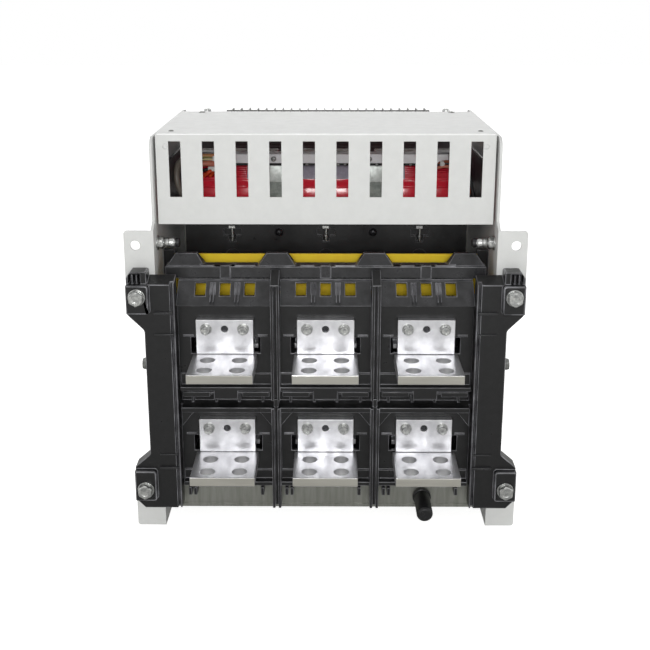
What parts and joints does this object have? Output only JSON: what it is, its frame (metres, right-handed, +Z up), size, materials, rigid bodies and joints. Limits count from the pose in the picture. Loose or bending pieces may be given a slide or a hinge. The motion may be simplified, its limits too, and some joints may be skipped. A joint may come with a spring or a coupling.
{
  "type": "air circuit breaker",
  "caption": "Draw-out air circuit breaker in its cradle, with rear L terminals, yellow shutter, slotted arc cover and moving racking, shutters, contacts and front controls.",
  "frame": {"origin": "centre of the footprint on the surface that the cradle stands on", "axes": "+X across the poles, +Y from the rear terminals towards the operator, +Z up"},
  "size_m": [0.375, 0.422, 0.392],
  "materials": {
    "grey_enamel": "light grey powder coat on pressed steel",
    "zinc_steel": "zinc plated steel",
    "black_moulding": "black moulding compound, satin",
    "silver_plate": "silver plated copper, milled",
    "yellow_plastic": "yellow moulded plastic",
    "red_moulding": "red moulding compound, gloss",
    "grey_plastic": "light grey moulded plastic",
    "green_plastic": "green moulded plastic",
    "clear_plastic": "clear polycarbonate",
    "wire_sheath": "insulated wire bundle"
  },
  "bodies": {
    "cradle": {"side_plate_right": "grey_enamel", "side_plate_left": "grey_enamel", "floor_pan": "zinc_steel", "rear_beam": "zinc_steel", "stiffeners": "grey_enamel", "side_screws": "zinc_steel", "upper_terminal_base": "black_moulding", "lower_terminal_base": "black_moulding", "contact_guards": "black_moulding", "upper_jaw_contacts": "silver_plate", "lower_jaw_contacts": "silver_plate", "upper_terminals": "silver_plate", "lower_terminals": "silver_plate", "terminal_bolts": "zinc_steel", "end_frame_right": "black_moulding", "end_frame_left": "black_moulding", "frame_bolts": "zinc_steel", "terminal_hood": "black_moulding", "shutter_guides": "black_moulding", "fixed_rails": "zinc_steel", "screw_bearings": "zinc_steel", "crank_sleeve": "black_moulding", "front_sill": "grey_plastic", "arc_cover": "grey_enamel", "guide_studs": "zinc_steel", "top_crossbar": "grey_enamel", "secondary_connector": "black_moulding"},
    "upper_shutter": {"upper_shutter": "yellow_plastic"},
    "lower_shutter": {"lower_shutter": "yellow_plastic"},
    "rail_right": {"sliding_rail_right": "zinc_steel"},
    "rail_left": {"sliding_rail_left": "zinc_steel"},
    "racking_beam": {"racking_beam": "zinc_steel"},
    "racking_screw": {"racking_screw": "zinc_steel"},
    "racking_crank": {"racking_crank": "zinc_steel"},
    "padlock_tab": {"padlock_tab": "zinc_steel"},
    "breaker": {"rear_casing": "black_moulding", "front_casing": "black_moulding", "casing_fasteners": "zinc_steel", "breaker_side_plates": "zinc_steel", "upper_stabs": "silver_plate", "lower_stabs": "silver_plate", "chute_clamp": "zinc_steel", "wiring": "wire_sheath", "mechanism_frame": "zinc_steel", "closing_spring": "zinc_steel", "front_cover": "grey_plastic", "control_brackets": "zinc_steel", "trip_unit": "grey_plastic", "arc_chute_1": "red_moulding", "arc_chute_2": "red_moulding", "arc_chute_3": "red_moulding"},
    "moving_contacts": {"moving_contacts": "silver_plate"},
    "main_shaft": {"main_shaft": "zinc_steel"},
    "on_button": {"on_button": "green_plastic"},
    "off_button": {"off_button": "red_moulding"},
    "reset_button": {"reset_button": "green_plastic"},
    "state_flag": {"state_flag": "yellow_plastic"},
    "charge_flag": {"charge_flag": "yellow_plastic"},
    "charging_handle": {"charging_handle": "black_moulding"},
    "trip_window": {"trip_window": "clear_plastic"}
  },
  "joints": [
    {"name": "racking", "type": "slide", "parent": "cradle", "child": "racking_beam", "axis": [0, 1, 0], "range_m": [0, 0.06]},
    {"name": "screw_turn", "type": "hinge", "parent": "cradle", "child": "racking_screw", "pos_m": [0, 0, 0.036], "axis": [0, 1, 0], "range_deg": [0, 4330]},
    {"name": "upper_shutter_drop", "type": "slide", "parent": "cradle", "child": "upper_shutter", "axis": [0, 0, -1], "range_m": [0, 0.0365]},
    {"name": "lower_shutter_lift", "type": "slide", "parent": "cradle", "child": "lower_shutter", "axis": [0, 0, 1], "range_m": [0, 0.0365]},
    {"name": "rail_right_out", "type": "slide", "parent": "cradle", "child": "rail_right", "axis": [0, 1, 0], "range_m": [0, 0.15]},
    {"name": "rail_left_out", "type": "slide", "parent": "cradle", "child": "rail_left", "axis": [0, 1, 0], "range_m": [0, 0.15]},
    {"name": "crank_out", "type": "slide", "parent": "cradle", "child": "racking_crank", "axis": [0, 1, 0], "range_m": [0, 0.24]},
    {"name": "padlock_out", "type": "slide", "parent": "cradle", "child": "padlock_tab", "axis": [0, 1, 0], "range_m": [0, 0.012]},
    {"name": "withdraw", "type": "slide", "parent": "racking_beam", "child": "breaker", "axis": [0, 1, 0], "range_m": [0, 0.15]},
    {"name": "contact_close", "type": "hinge", "parent": "breaker", "child": "moving_contacts", "pos_m": [0, -0.02, 0.104], "axis": [1, 0, 0], "range_deg": [0, 13], "stiffness_Nm_per_rad": 8, "springref_deg": -8.59},
    {"name": "shaft_turn", "type": "hinge", "parent": "breaker", "child": "main_shaft", "pos_m": [0, 0.062, 0.17], "axis": [1, 0, 0], "range_deg": [0, 45]},
    {"name": "state_flag_turn", "type": "hinge", "parent": "breaker", "child": "state_flag", "pos_m": [-0.028, 0.168, 0.248], "axis": [1, 0, 0], "range_deg": [0, 25]},
    {"name": "charge_flag_turn", "type": "hinge", "parent": "breaker", "child": "charge_flag", "pos_m": [-0.028, 0.168, 0.284], "axis": [1, 0, 0], "range_deg": [0, 25], "stiffness_Nm_per_rad": 0.02, "springref_deg": -17.19},
    {"name": "charging", "type": "hinge", "parent": "breaker", "child": "charging_handle", "pos_m": [-0.096, 0.176, 0.19], "axis": [-1, 0, 0], "range_deg": [0, 85], "stiffness_Nm_per_rad": 0.4, "springref_deg": -22.92},
    {"name": "on_press", "type": "slide", "parent": "breaker", "child": "on_button", "axis": [0, -1, 0], "range_m": [0, 0.004], "stiffness_N_per_m": 300, "springref_m": -0.003},
    {"name": "off_press", "type": "slide", "parent": "breaker", "child": "off_button", "axis": [0, -1, 0], "range_m": [0, 0.004], "stiffness_N_per_m": 300, "springref_m": -0.003},
    {"name": "reset_press", "type": "slide", "parent": "breaker", "child": "reset_button", "axis": [0, -1, 0], "range_m": [0, 0.003], "stiffness_N_per_m": 300, "springref_m": -0.003},
    {"name": "window_open", "type": "hinge", "parent": "breaker", "child": "trip_window", "pos_m": [0.078, 0.203, 0.236], "axis": [1, 0, 0], "range_deg": [0, 110]}
  ],
  "couplings": [
    {"joint": "screw_turn", "follows": "racking", "rad_per_m": 1256.6},
    {"joint": "upper_shutter_drop", "follows": "racking", "ratio": 0.6},
    {"joint": "lower_shutter_lift", "follows": "racking", "ratio": 0.6},
    {"joint": "shaft_turn", "follows": "contact_close", "ratio": 3.4},
    {"joint": "state_flag_turn", "follows": "contact_close", "ratio": 1.9}
  ]
}
